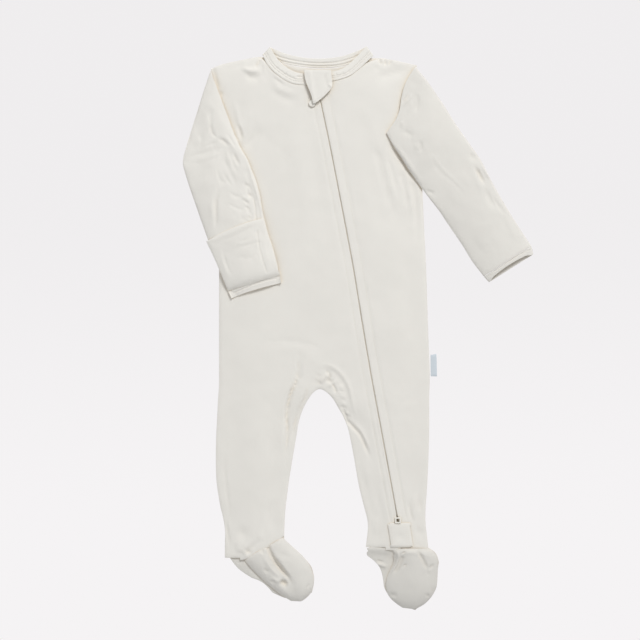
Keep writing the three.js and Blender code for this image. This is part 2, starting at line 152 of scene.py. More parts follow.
def rounded(obj, levels):
    """Subdivides the object and keeps the result as its mesh."""
    sub = obj.modifiers.new("round", "SUBSURF")
    sub.levels = sub.render_levels = levels
    sub.boundary_smooth = "PRESERVE_CORNERS"
    graph = bpy.context.evaluated_depsgraph_get()
    mesh = bpy.data.meshes.new_from_object(obj.evaluated_get(graph))
    obj.modifiers.clear()
    obj.data = mesh
    return obj


# %% [markdown]
# ## Creases
# Laid cloth isn't smooth: each crease is a soft trough or ridge with its own length, width and
# height. A crease here is a short line of points, the half width of its rounded section, its height
# (troughs are negative), and whether it fades at its first and last end. All of them are added up
# over every vertex. Cloth simulation could make creases too, but not these ones in these places.


# %% The relief of a list of creases
FADE = 0.4
REACH = 3
SEED_STEPS = (17.3, -9.1, 5.7)


def smooth(t):
    """Rises gently from 0 to 1 as t does."""
    t = np.clip(t, 0.0, 1.0)
    return t * t * (3 - 2 * t)


def curve(points, steps=6):
    """A rounded line through a few given points."""
    pts = [Vector(p) for p in points]
    if len(pts) == 2:
        return [pts[0].lerp(pts[1], i / steps) for i in range(steps + 1)]
    pts = [pts[0] * 2 - pts[1], *pts, pts[-1] * 2 - pts[-2]]
    line = []
    for a, b, c, d in zip(pts, pts[1:], pts[2:], pts[3:]):
        for i in range(steps):
            t = i / steps
            bend = 2 * a - 5 * b + 4 * c - d
            twist = 3 * b - a - 3 * c + d
            line.append(0.5 * (2 * b + (c - a) * t + bend * t**2 + twist * t**3))
    return [*line, pts[-2]]


def distance_along(xy, line):
    """For each point, its distance from the line, which side it is on, and how far along it is."""
    line = np.array([p[:2] for p in line])
    seg = line[1:] - line[:-1]
    size = np.hypot(seg[:, 0], seg[:, 1])
    start = np.concatenate([[0], np.cumsum(size)[:-1]])
    best = np.full(len(xy), 1e9)
    side = np.ones(len(xy))
    along = np.zeros(len(xy))
    for a, s, length, before in zip(line[:-1], seg, size, start):
        rel = xy - a
        t = np.clip((rel @ s) / length**2, 0, 1)
        away = rel - t[:, None] * s
        dist = np.hypot(away[:, 0], away[:, 1])
        nearer = dist < best
        best[nearer] = dist[nearer]
        side[nearer] = np.sign(s[0] * rel[:, 1] - s[1] * rel[:, 0])[nearer]
        along[nearer] = ((before + t * length) / size.sum())[nearer]
    return best, side, along


def relief(xy, creases):
    """The summed height of all creases at each point, in millimetres."""
    height = np.zeros(len(xy))
    for points, width, rise, *ends in creases:
        low = np.min(points, axis=0) - REACH * width
        high = np.max(points, axis=0) + REACH * width
        near = np.all((xy > low) & (xy < high), axis=1)
        if not near.any():
            continue
        dist, _, along = distance_along(xy[near], curve(points))
        first, last = ends[0] if ends else (1, 1)
        fade = np.ones(len(dist))
        if first:
            fade *= smooth(along / FADE)
        if last:
            fade *= smooth((1 - along) / FADE)
        height[near] += rise * np.exp(-((dist / width) ** 2)) * fade
    return height


def rumple(points, scale, rise, seed):
    """Small, even unrest of the cloth, the same on every run."""
    shift = Vector([seed * step for step in SEED_STEPS])
    return rise * np.array([noise.noise(Vector(p) / scale + shift) for p in points])


# %% [markdown]
# ## Shaping one piece
# Each piece goes through the same steps: skin, subdivision, seam allowances, creases, then Solidify
# for the jersey's 0.9 mm and a small Bevel that rounds the cut edges. A seam allowance is the strip
# that a maker leaves past a seam: it reaches under the next piece, so that no gap shows between two
# pieces. The creases act only where the cloth faces up, so that a tube's lower layer stays on what
# it rests on.

# %% Measures of the cloth
WALL = 0.9 * MM
SEAM_SPREAD = 0.15 * MM
NEAR_SEAM = 3.0
FINE_CREASE = 2.4
FINE_REACH = 2.2
EDGE_LIMIT = 12.0
EDGE_CALM = 8
EDGE_ROLL = 3
UNREST_WAVES = ((38, 1.4), (13, 0.6), (5, 0.2))
shaped = {}


# %% Helpers for one skin
def crotch_mm(mesh):
    """The mesh's points in millimetres from the crotch."""
    points = np.empty(len(mesh.vertices) * 3)
    mesh.vertices.foreach_get("co", points)
    return (points.reshape(-1, 3) - np.array(CROTCH)) * 1000


def edge_distance(mesh, points):
    """Distance of each vertex from the open edge of the skin, up to the limit."""
    bm = bmesh.new()
    bm.from_mesh(mesh)
    rim = [v.index for v in bm.verts if v.is_boundary]
    bm.free()
    tree = KDTree(len(rim))
    for i in rim:
        tree.insert(points[i], i)
    tree.balance()
    return np.array([min(tree.find(p)[2], EDGE_LIMIT) for p in points])


def spread(mesh, amount):
    """Moves the open edge outwards, so that neighbouring pieces meet along their seam."""
    bm = bmesh.new()
    bm.from_mesh(mesh)
    moves = {}
    for v in bm.verts:
        if v.is_boundary:
            inner = sum((f.calc_center_median() for f in v.link_faces), Vector()) / len(v.link_faces)
            ends = [e.other_vert(v).co for e in v.link_edges if e.is_boundary]
            away = v.co - inner
            if len(ends) == 2:
                way = (ends[1] - ends[0]).normalized()
                away -= way * away.dot(way)
            away.z = 0
            moves[v] = away.normalized() * amount
    for v, move in moves.items():
        v.co += move
    bm.to_mesh(mesh)
    bm.free()


def refined(mesh, creases):
    """Halves the squares that lie near fine creases, so that each crease gets enough of them."""
    fine = [(curve(points), width) for points, width, *_ in creases if width <= FINE_CREASE]
    bm = bmesh.new()
    bm.from_mesh(mesh)
    points = np.array([v.co for v in bm.verts])
    xy = (points - np.array(CROTCH))[:, :2] * 1000
    near = np.zeros(len(xy), bool)
    for line, width in fine:
        near |= distance_along(xy, line)[0] < FINE_REACH * width + 1
    near &= np.array([v.normal.z > FACES_OUT for v in bm.verts])
    edges = [e for e in bm.edges if near[e.verts[0].index] and near[e.verts[1].index]]
    bmesh.ops.subdivide_edges(
        bm, edges=edges, cuts=1, use_grid_fill=True, use_single_edge=True, smooth=0.3
    )
    bm.to_mesh(mesh)
    bm.free()


def add_allowance(mesh, seams):
    """Continues the open edge along each seam, so that it reaches under the next piece."""
    bm = bmesh.new()
    bm.from_mesh(mesh)
    for line, reach, drop in seams:
        rim = [v for v in bm.verts if v.is_boundary and v.normal.z > 0]
        xy = np.array([tuple((v.co - CROTCH).xy * 1000) for v in rim])
        near = distance_along(xy, curve([(*p, 0) for p in line]))[0] < NEAR_SEAM
        chosen = {v for v, is_near in zip(rim, near) if is_near}
        edges = [e for e in bm.edges if e.is_boundary and chosen.issuperset(e.verts)]
        outward = {}
        for e in edges:
            way = e.verts[1].co - e.verts[0].co
            away = Vector((-way.y, way.x, 0)).normalized()
            middle = (e.verts[0].co + e.verts[1].co) / 2
            if away.dot(middle - e.link_faces[0].calc_center_median()) < 0:
                away.negate()
            for v in e.verts:
                outward.setdefault(v.co.to_tuple(7), Vector()).xyz += away
        made = bmesh.ops.extrude_edge_only(bm, edges=edges)["geom"]
        for v in [g for g in made if isinstance(g, bmesh.types.BMVert)]:
            v.co += outward[v.co.to_tuple(7)].normalized() * reach * MM - Vector((0, 0, drop * MM))
    bmesh.ops.recalc_face_normals(bm, faces=bm.faces)
    if sum(f.normal.z * f.calc_area() for f in bm.faces) < 0:
        bmesh.ops.reverse_faces(bm, faces=bm.faces)
    bm.to_mesh(mesh)
    bm.free()


def tree_of(mesh):
    return BVHTree.FromPolygons([v.co for v in mesh.vertices], [p.vertices[:] for p in mesh.polygons])


# %% The cloth maker
def cloth(
    name, node, levels=2, tube=False, creases=(), seams=(), unrest=0.4, roll=0.35, form=None, wall=WALL
):
    """One piece of cloth: unrest and roll are the heights of its rumples and of its turned-down edge."""
    obj = rounded(new_object(name, skin(node, tube)), levels)
    mesh = obj.data
    if creases:
        refined(mesh, creases)
    spread(mesh, SEAM_SPREAD)
    if seams:
        add_allowance(mesh, seams)
    points = crotch_mm(mesh)
    normals = np.empty(len(mesh.vertices) * 3)
    mesh.vertex_normals.foreach_get("vector", normals)
    up = smooth((normals.reshape(-1, 3)[:, 2] - 0.1) / 0.5)
    edge = edge_distance(mesh, points)
    seed = len(shaped) + 1
    calm = smooth(edge / EDGE_CALM)
    lift = relief(points[:, :2], creases)
    for scale, share in UNREST_WAVES:
        lift += rumple(points, scale, unrest * share, seed + scale) * (0.3 + 0.7 * calm)
    lift -= roll * (1 - smooth(edge / EDGE_ROLL))
    points[:, 2] += lift * up
    if form:
        points = form(points)
    mesh.vertices.foreach_set("co", (points * MM + np.array(CROTCH)).ravel())
    mesh.update()
    smooth_faces(mesh)
    shaped[name] = tree_of(mesh)
    shell = obj.modifiers.new("wall", "SOLIDIFY")
    shell.thickness = wall
    shell.offset = -1
    edge_round = obj.modifiers.new("edges", "BEVEL")
    edge_round.width = wall * 0.35
    edge_round.segments = 2
    edge_round.limit_method = "ANGLE"
    edge_round.angle_limit = math.radians(55)
    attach(obj, "root")
    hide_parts(node)
    area = sum(p.area for p in mesh.polygons)
    print(f"{name}: {len(mesh.polygons)} faces, {area * 1e4:.1f} square cm of cloth")
    return obj


# %% [markdown]
# ## Stage
# A pale sheet to lie on, a broad soft light from above the neck, a weak fill from the other side,
# and a camera straight overhead with a long lens, which keeps a flat garment's outline true.

# %% Floor, light and camera
FLOOR_HALF = 6.0
FLOOR_DROP = 0.2 * MM
VIEW_WIDTH = 0.6605
VIEW_CENTRE_UP = 69.1
LENS = 100.0
SENSOR = 36.0

floor_bm = bmesh.new()
bmesh.ops.create_grid(floor_bm, x_segments=1, y_segments=1, size=FLOOR_HALF)
floor = new_object("floor", floor_bm)
floor.location.z = -FLOOR_DROP
floor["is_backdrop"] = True

camera = bpy.data.objects.new("camera", bpy.data.cameras.new("camera"))
bpy.context.collection.objects.link(camera)
camera.data.lens = LENS
camera.data.sensor_width = SENSOR
camera.data.clip_end = 50
camera.location = place(0, VIEW_CENTRE_UP, 0) + Vector((0, 0, VIEW_WIDTH * LENS / SENSOR))
bpy.context.scene.camera = camera


def area_light(name, where, target, size, power, colour):
    data = bpy.data.lights.new(name, "AREA")
    data.shape = "DISK"
    data.size = size
    data.energy = power
    data.color = colour
    obj = bpy.data.objects.new(name, data)
    bpy.context.collection.objects.link(obj)
    obj.location = where
    obj.rotation_euler = (Vector(target) - Vector(where)).to_track_quat("-Z", "Y").to_euler()
    return obj


area_light("key", (1.25, 3.05, 2.65), (0, 0, 0), 1.3, 127, (1.0, 0.99, 0.975))
area_light("fill", (-1.2, -1.6, 2.2), (0, -0.2, 0), 2.4, 14, (0.985, 0.99, 1.0))

world = bpy.data.worlds.new("studio")
world.use_nodes = True
world.node_tree.nodes["Background"].inputs["Color"].default_value = (1.0, 0.995, 0.99, 1)
world.node_tree.nodes["Background"].inputs["Strength"].default_value = 0.47
bpy.context.scene.world = world
bpy.context.scene.view_settings.view_transform = "Standard"
print("camera height, m:", round(camera.location.z, 3))

# %% [markdown]
# ## Knit and colour
# Jersey is rows of tiny V-shaped loops, about 0.8 mm wide. One shader group makes them as a height,
# and another lets a flat colour drift a little, as washed cotton does. Both are built once and used
# by every cloth with its own values. The pattern reads Object coordinates, turned by a Mapping node
# so that its columns run along a sleeve as they run down the body.
# The jersey's colour also holds painted shade: ambient occlusion turns it darker and warmer in hollows,
# seams and under overlapping pieces.

# %% Measures of the knit
WALES_PER_METRE = 1250.0
COURSES_TO_WALES = 1.3
LOOP_SLANT = 1.3
LOOP_HEIGHT = 0.25 * MM
# Painted shade: how far the occlusion looks for hollows, and the warm brown that is multiplied into the
# colour there.
PAINTED_SHADE_REACH = 12 * MM
PAINTED_SHADE_TINT = (1.0, 0.90, 0.76, 1)


# %% Shader groups
def shader_group(name, sockets_in, sockets_out):
    tree = bpy.data.node_groups.new(name, "ShaderNodeTree")
    for label, kind, value in sockets_in:
        socket = tree.interface.new_socket(name=label, in_out="INPUT", socket_type=kind)
        if value is not None:
            socket.default_value = value
    for label, kind in sockets_out:
        tree.interface.new_socket(name=label, in_out="OUTPUT", socket_type=kind)
    return tree, tree.nodes.new("NodeGroupInput"), tree.nodes.new("NodeGroupOutput")


def math_node(tree, operation, a, b=None):
    node = tree.nodes.new("ShaderNodeMath")
    node.operation = operation
    for socket, value in zip(node.inputs, (a, b)):
        if value is None:
            continue
        if isinstance(value, (int, float)):
            socket.default_value = value
        else:
            tree.links.new(value, socket)
    return node.outputs[0]


def make_knit():
    tree, ins, outs = shader_group(
        "jersey loops",
        [("Vector", "NodeSocketVector", None), ("Wales per metre", "NodeSocketFloat", WALES_PER_METRE)],
        [("Height", "NodeSocketFloat")],
    )
    split = tree.nodes.new("ShaderNodeSeparateXYZ")
    tree.links.new(ins.outputs["Vector"], split.inputs[0])
    across = math_node(tree, "MULTIPLY", split.outputs[0], ins.outputs["Wales per metre"])
    along = math_node(tree, "MULTIPLY", split.outputs[1], ins.outputs["Wales per metre"])
    middle = math_node(tree, "SUBTRACT", math_node(tree, "FRACT", across), 0.5)
    column = math_node(tree, "ABSOLUTE", middle)
    slant = math_node(tree, "MULTIPLY", column, LOOP_SLANT)
    courses = math_node(tree, "MULTIPLY", along, COURSES_TO_WALES)
    course = math_node(tree, "FRACT", math_node(tree, "ADD", courses, slant))
    loop = math_node(tree, "SINE", math_node(tree, "MULTIPLY", course, math.pi))
    rib = math_node(tree, "SINE", math_node(tree, "MULTIPLY", column, 2 * math.pi))
    height = math_node(tree, "MULTIPLY", loop, math_node(tree, "ADD", rib, 0.35))
    tree.links.new(height, outs.inputs["Height"])
    return tree


def make_drift():
    tree, ins, outs = shader_group(
        "colour drift",
        [
            ("Vector", "NodeSocketVector", None),
            ("Colour", "NodeSocketColor", (0.8, 0.8, 0.8, 1)),
            ("Shade", "NodeSocketColor", (0.7, 0.7, 0.7, 1)),
            ("Scale", "NodeSocketFloat", 18.0),
        ],
        [("Colour", "NodeSocketColor")],
    )
    cloud = tree.nodes.new("ShaderNodeTexNoise")
    cloud.inputs["Detail"].default_value = 5
    tree.links.new(ins.outputs["Vector"], cloud.inputs["Vector"])
    tree.links.new(ins.outputs["Scale"], cloud.inputs["Scale"])
    mix = tree.nodes.new("ShaderNodeMix")
    mix.data_type = "RGBA"
    tree.links.new(cloud.outputs["Fac"], mix.inputs["Factor"])
    tree.links.new(ins.outputs["Colour"], mix.inputs["A"])
    tree.links.new(ins.outputs["Shade"], mix.inputs["B"])
    tree.links.new(mix.outputs["Result"], outs.inputs["Colour"])
    return tree


KNIT = make_knit()
DRIFT = make_drift()


def material(
    name, colour, shade, rough, turn=0.0, wales=WALES_PER_METRE, bump=0.0, sheen=0.0, paint_hollow_shade=False
):
    """A drifting colour, a knit of the given bump, and painted warm shade in hollows where asked for."""
    mat = bpy.data.materials.new(name)
    mat.use_nodes = True
    tree = mat.node_tree
    shader = tree.nodes["Principled BSDF"]
    shader.inputs["Roughness"].default_value = rough
    shader.inputs["Sheen Weight"].default_value = sheen
    shader.inputs["Specular IOR Level"].default_value = 0.25
    where = tree.nodes.new("ShaderNodeTexCoord").outputs["Object"]
    drift = tree.nodes.new("ShaderNodeGroup")
    drift.node_tree = DRIFT
    drift.inputs["Colour"].default_value = (*colour, 1)
    drift.inputs["Shade"].default_value = (*shade, 1)
    tree.links.new(where, drift.inputs["Vector"])
    # Painted shade: where ambient occlusion finds a hollow, the colour is multiplied towards a warm
    # brown.
    if paint_hollow_shade:
        hollow = tree.nodes.new("ShaderNodeAmbientOcclusion")
        hollow.samples = 8
        hollow.inputs["Distance"].default_value = PAINTED_SHADE_REACH
        painted_shade_mix = tree.nodes.new("ShaderNodeMix")
        painted_shade_mix.data_type = "RGBA"
        painted_shade_mix.blend_type = "MULTIPLY"
        painted_shade_mix.inputs["B"].default_value = PAINTED_SHADE_TINT
        tree.links.new(math_node(tree, "SUBTRACT", 1.0, hollow.outputs["AO"]), painted_shade_mix.inputs["Factor"])
        tree.links.new(drift.outputs["Colour"], painted_shade_mix.inputs["A"])
        tree.links.new(painted_shade_mix.outputs["Result"], shader.inputs["Base Color"])
    else:
        tree.links.new(drift.outputs["Colour"], shader.inputs["Base Color"])
    if bump:
        turned = tree.nodes.new("ShaderNodeMapping")
        turned.inputs["Rotation"].default_value[2] = math.radians(turn)
        tree.links.new(where, turned.inputs["Vector"])
        knit = tree.nodes.new("ShaderNodeGroup")
        knit.node_tree = KNIT
        knit.inputs["Wales per metre"].default_value = wales
        tree.links.new(turned.outputs["Vector"], knit.inputs["Vector"])
        relief_node = tree.nodes.new("ShaderNodeBump")
        relief_node.inputs["Strength"].default_value = bump
        relief_node.inputs["Distance"].default_value = LOOP_HEIGHT
        tree.links.new(knit.outputs["Height"], relief_node.inputs["Height"])
        tree.links.new(relief_node.outputs["Normal"], shader.inputs["Normal"])
    return mat


# %% The jersey
JERSEY = (0.80, 0.785, 0.745)
JERSEY_SHADE = (0.765, 0.75, 0.71)


def jersey(name, turn=0.0, brightness_scale=1.0):
    # brightness_scale multiplies the whole colour; where it is below one, on the left sleeve and the
    # feet, it paints shade.
    colour = [c * brightness_scale for c in JERSEY]
    shade = [c * brightness_scale for c in JERSEY_SHADE]
    return material(name, colour, shade, 0.92, turn=turn, bump=0.35, sheen=0.05, paint_hollow_shade=True)


body_jersey = jersey("jersey_body")

# %% [markdown]
# ## The sheet it lies on
# A studio sweep is lit apart from the garment, so that it stays pale and even. Here the floor gives
# off its own light, a little brighter towards the feet, as light falls off along a real sweep.

# %% Paper of the floor
PAPER_NEAR = (0.913, 0.896, 0.905, 1)
PAPER_FAR = (0.866, 0.850, 0.858, 1)
PAPER_FROM, PAPER_TO = -0.22, 0.16


def make_paper():
    paper = bpy.data.materials.new("paper")
    paper.use_nodes = True
    tree = paper.node_tree
    split = tree.nodes.new("ShaderNodeSeparateXYZ")
    tree.links.new(tree.nodes.new("ShaderNodeTexCoord").outputs["Object"], split.inputs[0])
    spot = tree.nodes.new("ShaderNodeMapRange")
    spot.inputs["From Min"].default_value = PAPER_FROM
    spot.inputs["From Max"].default_value = PAPER_TO
    tree.links.new(split.outputs[1], spot.inputs["Value"])
    ramp = tree.nodes.new("ShaderNodeValToRGB")
    ramp.color_ramp.interpolation = "EASE"
    ramp.color_ramp.elements[0].color = PAPER_NEAR
    ramp.color_ramp.elements[1].color = PAPER_FAR
    tree.links.new(spot.outputs[0], ramp.inputs["Fac"])
    glow = tree.nodes.new("ShaderNodeEmission")
    tree.links.new(ramp.outputs["Color"], glow.inputs["Color"])
    tree.links.new(glow.outputs[0], tree.nodes["Material Output"].inputs["Surface"])
    return paper


floor.data.materials.append(make_paper())


# %% Giving a piece its material
def finish_as(obj, mat, rests_on):
    """Gives a cloth piece its material."""
    obj.data.materials.clear()
    obj.data.materials.append(mat)
    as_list(rests_on)


# %% [markdown]
# ## The back
# One piece from the shoulders down both legs, flat on the floor. Only its neckline shows, inside
# the collar, so it stays plain.


# %% Back panel
back = cloth("back_cloth", "back_panel", unrest=0.0, roll=0.15, wall=0.8 * MM)
finish_as(back, body_jersey, "floor")

# %% [markdown]
# ## The two fronts
# The right front runs from the neck to both ankles' inner seams, and the zip bounds it. Its creases
# are listed by place: under the neck, at the shoulders, beside the sleeves, and round the crotch,
# where the seam allowance puckers the cloth in short uneven folds.

# %% Creases of the fronts
UNDER_NECK = [
    ([(-50, 309), (-43, 301), (-31, 296), (-20, 297)], 3.6, -0.6),
    ([(-50, 316), (-42, 307), (-31, 303), (-20, 304)], 3.2, 0.9),
    ([(-49, 323), (-42, 317), (-35, 312)], 1.3, 0.5),
    ([(-46, 318), (-38, 311.5)], 1.1, -0.5),
    ([(-78, 323), (-72, 319), (-65, 319), (-61, 323)], 2.4, -1.0),
    ([(-82, 330), (-73, 326), (-64, 326), (-61, 331)], 2.2, 1.9),
    ([(-61, 341), (-64, 334), (-68, 328)], 1.1, -1.5, (0, 1)),
    ([(-58, 338), (-57, 320)], 1.4, 0.4),
]
SHOULDERS = [
    ([(-108, 331), (-90, 331), (-74, 336)], 4.0, -0.5),
    ([(-110, 328), (-107, 316), (-104, 304)], 1.8, -1.0, (0, 1)),
    ([(-104, 303), (-100, 301)], 2.2, -1.0),
    ([(-100, 322), (-96, 300)], 4.0, 0.3),
    ([(56, 312), (66, 320), (79, 325), (94, 330)], 4.4, -1.3),
    ([(70, 311), (90, 320)], 5.0, 0.4),
    ([(86, 331), (95, 330)], 2.6, -0.9),
    ([(60.5, 339), (62, 335), (65, 332)], 1.3, -1.7, (0, 1)),
    ([(63.5, 340), (66, 334)], 1.1, 0.6, (0, 1)),
    ([(66, 337.5), (69, 330)], 1.3, -1.7, (0, 1)),
    ([(68.5, 338), (70, 332)], 1.0, 0.5, (0, 1)),
    ([(71, 337), (72, 331)], 1.2, -1.5, (0, 1)),
    ([(58, 332), (60, 324)], 2.2, -0.5),
]
CHEST = [
    ([(70, 257), (80, 243), (92, 226), (104, 208)], 4.0, -1.8),
    ([(-77, 243), (-68, 258), (-58, 268)], 4.0, -1.2),
    ([(-84, 262), (-72, 276), (-66, 288)], 5.0, 0.35),
    ([(-85, 272), (-82, 262), (-80, 252)], 1.8, -1.4),
    ([(-90, 300), (-84, 276), (-78, 250)], 2.4, 0.5),
    ([(-19, 290), (-4, 228), (4, 150)], 8.0, -0.6),
    ([(-34, 286), (-20, 226), (-14, 140)], 9.0, 0.4),
    ([(-70, 200), (-48, 150), (-40, 90)], 12.0, -0.5),
    ([(40, 300), (56, 262), (62, 236)], 7.0, 0.4),
    ([(30, 250), (48, 190), (52, 120)], 9.0, 0.4),
    ([(60, 240), (67, 212), (74, 187), (80, 165)], 3.0, -0.9, (0, 1)),
    ([(64, 244), (72, 212), (80, 180)], 3.0, 0.6),
    ([(71, 232), (77, 210), (80, 196)], 2.0, -0.6, (0, 1)),
    ([(84, 218), (88, 200), (90, 180)], 2.0, -0.8, (0, 1)),
    ([(90, 212), (94, 190), (96, 168)], 2.0, 0.5),
    ([(96, 208), (99, 185), (100, 150)], 2.2, -0.7, (0, 1)),
    ([(86, 150), (92, 90), (94, 30)], 6.0, -0.4),
]
LAP = [
    ([(-68, 46), (-30, 47), (8, 39)], 2.4, -0.3),
    ([(-64, 36), (-28, 38), (0, 30)], 3.4, 0.25),
    ([(-100, 70), (-84, 40), (-78, 0)], 9.0, 0.4),
    ([(-90, -10), (-84, -60), (-82, -110)], 8.0, -0.4),
    ([(-62, -20), (-64, -70), (-66, -130)], 9.0, 0.4),
    ([(-46, -28), (-50, -62), (-50, -100)], 4.0, -0.5),
]
INSEAM_LINE = [
    (-20, 52), (-21, 33), (-23.5, 10), (-30, -6), (-34, -22), (-34.5, -32), (-33.5, -46), (-35, -67),
    (-36.5, -90),
]
INSEAM = [
    (INSEAM_LINE, 1.15, -2.1),
    ([(-24.5, 30), (-27.5, 10), (-34, -8), (-38, -24), (-38.5, -46), (-40, -86)], 1.8, 0.5),
    ([(-8, 14), (-13, -2), (-16, -12), (-22, -26), (-28, -46), (-31, -76)], 1.3, -1.6),
    ([(-13, 6), (-18, -9), (-24.5, -30)], 2.0, 0.5),
    ([(-28, -60), (-33, -100), (-35, -135)], 1.6, -0.3),
]
CROTCH_PUCKERS = [
    ([(-8, 18), (5, 23), (17, 18), (26, 7.5), (31, -4), (34.5, -21), (38, -34)], 1.5, 0.8),
    ([(-2, 14), (6.5, 18), (17, 13), (24, 3), (28, -10), (31, -24)], 2.4, -0.5),
    ([(-1.5, 12), (-1.5, 4.5)], 1.0, -1.1, (0, 0)),
    ([(1.5, 6), (4.5, 9.5), (7, 12)], 1.7, 1.5, (0, 0)),
    ([(8, 16), (9.5, 11), (8, 6.5)], 1.0, -1.3, (0, 0)),
    ([(7, 5.3), (14, 6.2)], 0.9, -1.1),
    ([(6.5, -1), (12, 3), (18, 7.5)], 1.5, 0.9),
    ([(18, 4.5), (24, 3.5)], 0.9, -0.35),
    ([(19, 1), (25, -1)], 1.2, 0.3),
    ([(19, -4), (26, -5)], 1.0, -0.35),
    ([(20, -8.5), (27, -10)], 1.2, 0.3),
    ([(21, -13), (27, -13.5)], 1.0, -0.4),
    ([(22, -17), (28, -18)], 1.2, 0.35),
    ([(12, 4), (15, -1), (17, -8)], 0.9, -1.2, (0, 1)),
    ([(22, -19), (26, -28), (30, -36)], 1.3, -1.0),
    ([(22, -20.5), (28.5, -22)], 1.2, -0.6, (0, 1)),
    ([(25, -27), (30, -26)], 1.1, 0.7),
    ([(26.5, -31), (32, -30)], 1.1, -0.8, (0, 1)),
]
ZIP_LEG = [
    ([(27, -34), (35, -42), (42, -50), (48, -64), (53, -76)], 1.6, -1.5, (0, 1)),
    ([(31, -33), (40, -43), (47, -55), (52, -68)], 2.4, 0.7),
    ([(44, -70), (49, -98), (57, -124)], 4.0, 0.5),
    ([(38, -62), (44, -92), (52, -120)], 3.4, -0.5),
    ([(56, -104), (62, -124), (66, -146)], 3.0, -0.5),
    ([(56, -132), (58, -152)], 3.0, 0.6),
    ([(98, -108), (97, -128), (97, -138)], 2.2, 0.7),
    ([(91, -114), (93, -130), (97, -142)], 1.8, -0.7),
    ([(104, -112), (102, -130)], 1.8, -0.6),
    ([(96, -146), (104, -150), (108, -146)], 3.0, -0.6),
]
RIGHT_ANKLE = [
    ([(-89, -167), (-79, -169), (-75, -176)], 1.4, 1.3),
    ([(-77, -170), (-69, -170)], 1.4, -1.6),
    ([(-97, -135), (-95, -150), (-93, -166)], 1.0, -0.9),
    ([(-86, -146), (-79, -151), (-72, -148)], 4.0, -1.1),
    ([(-90, -158), (-80, -164), (-70, -162)], 3.2, 0.9),
    ([(-84, -170), (-74, -168), (-64, -158)], 2.0, -0.9),
    ([(-66, -150), (-58, -158)], 2.6, 0.7),
    ([(-46, -110), (-50, -130), (-52, -150)], 4.0, -0.5),
    ([(-40, -120), (-43, -142)], 3.0, 0.5),
    ([(-100, -60), (-97, -100), (-91, -140)], 1.3, -0.5),
]

# %% [markdown]
# ## Where the zip runs
# The zip is a long gentle curve from the middle of the neck to the left ankle. Every row of
# topstitching beside it is the same curve, moved across by a fixed distance.

# %% The zip's line and its topstitching
ZIP_LINE = [
    (-4, 313), (0.5, 295), (11, 245), (22.6, 185), (34, 125), (44.6, 59), (52.6, 12), (63.4, -46),
    (80, -136),
]
TOPSTITCH_OFFSETS = (-7.6, 9.1)
PLACKET = [(-3.3, 1.0, -0.3), (-1.4, 1.3, 0.3), (2.0, 1.6, 0.3)]
SLIT_CLOSING = 0.4


def beside(line, offset):
    """The same line, moved across to the wearer's left when positive."""
    moved = []
    for i, p in enumerate(line):
        a, b = Vector(line[max(i - 1, 0)]), Vector(line[min(i + 1, len(line) - 1)])
        way = (b - a).normalized()
        moved.append(tuple(Vector(p) + Vector((-way.y, way.x)) * offset))
    return moved


zip_rows = [beside(ZIP_LINE, offset) for offset in TOPSTITCH_OFFSETS]
zip_furrows = [(row, 1.3, -0.32, (0, 0)) for row in zip_rows]
placket = [(beside(ZIP_LINE, offset), width, rise, (0, 0)) for offset, width, rise in PLACKET]


def close_slit(points):
    """Brings the two folded edges nearer each other along the zip, so that they almost hide the coil."""
    dist, side, along = distance_along(points[:, :2], curve([(*p, 0) for p in ZIP_LINE]))
    near = (1 - smooth((dist - 1) / 5)) * smooth(along / 0.02) * smooth((1 - along) / 0.02)
    points[:, 0] -= SLIT_CLOSING * near * side
    return points


# %% [markdown]
# ## The left armhole
# A sewn armhole is never straight once the sleeve is laid down: this one hangs in a slack S. The
# front and the sleeve share the seam, so both are bent by the same function and still meet.

# %% Bending the left armhole
ARMHOLE_LEFT = [(99, 331), (68, 261)]
ARMHOLE_OUT, ARMHOLE_IN = 3.8, 2.8
ARMHOLE_REACH = 14


def bend_armhole(points):
    """Moves the seam out in its lower half and in above, fading away from the seam."""
    (_, top), (_, bottom) = ARMHOLE_LEFT
    dist, _, _ = distance_along(points[:, :2], [Vector((*p, 0)) for p in ARMHOLE_LEFT])
    turn = np.sin(2 * np.pi * np.clip((points[:, 1] - bottom) / (top - bottom), 0, 1))
    sway = np.where(turn > 0, ARMHOLE_OUT, ARMHOLE_IN) * turn
    points[:, 0] += sway * (1 - smooth(dist / ARMHOLE_REACH))
    return points


def shape_front_left(points):
    return bend_armhole(close_slit(points))


# %% [markdown]
# ## Seams of the fronts
# The fronts meet the neck binding and the feet along short seams. At the neck the cloth rises to
# meet the binding, and at the ankles a seam allowance reaches under the foot: each row gives its
# line, how far it reaches and how far it drops.

# %% Seams and all creases of the fronts
NECK_SEAM_RIGHT = [(-60, 341), (-51.5, 328), (-41, 319), (-29, 312), (-16.5, 311)]
NECK_SEAM_LEFT = [(55, 341.5), (43, 330), (31, 320), (20.5, 317), (12.5, 315)]
ANKLE_SEAM_RIGHT = [(-80, -175.5), (-76, -175.2), (-66, -169), (-50, -160.5), (-41, -155.5)]
ANKLE_SEAM_LEFT = [(70, -165.2), (85, -165.2), (118, -165.2)]
meeting = [(NECK_SEAM_RIGHT, 3.5, 0.35, (0, 0)), (NECK_SEAM_LEFT, 3.5, 0.35, (0, 0))]
FRONT_SEAMS = [(ANKLE_SEAM_RIGHT, 2.6, 0.2), (ANKLE_SEAM_LEFT, 3.0, 0.0)]
front_creases = [
    *meeting, *UNDER_NECK, *SHOULDERS, *CHEST, *LAP, *INSEAM, *CROTCH_PUCKERS, *ZIP_LEG, *RIGHT_ANKLE,
    *zip_furrows, *placket,
]
print("creases on the fronts:", len(front_creases))

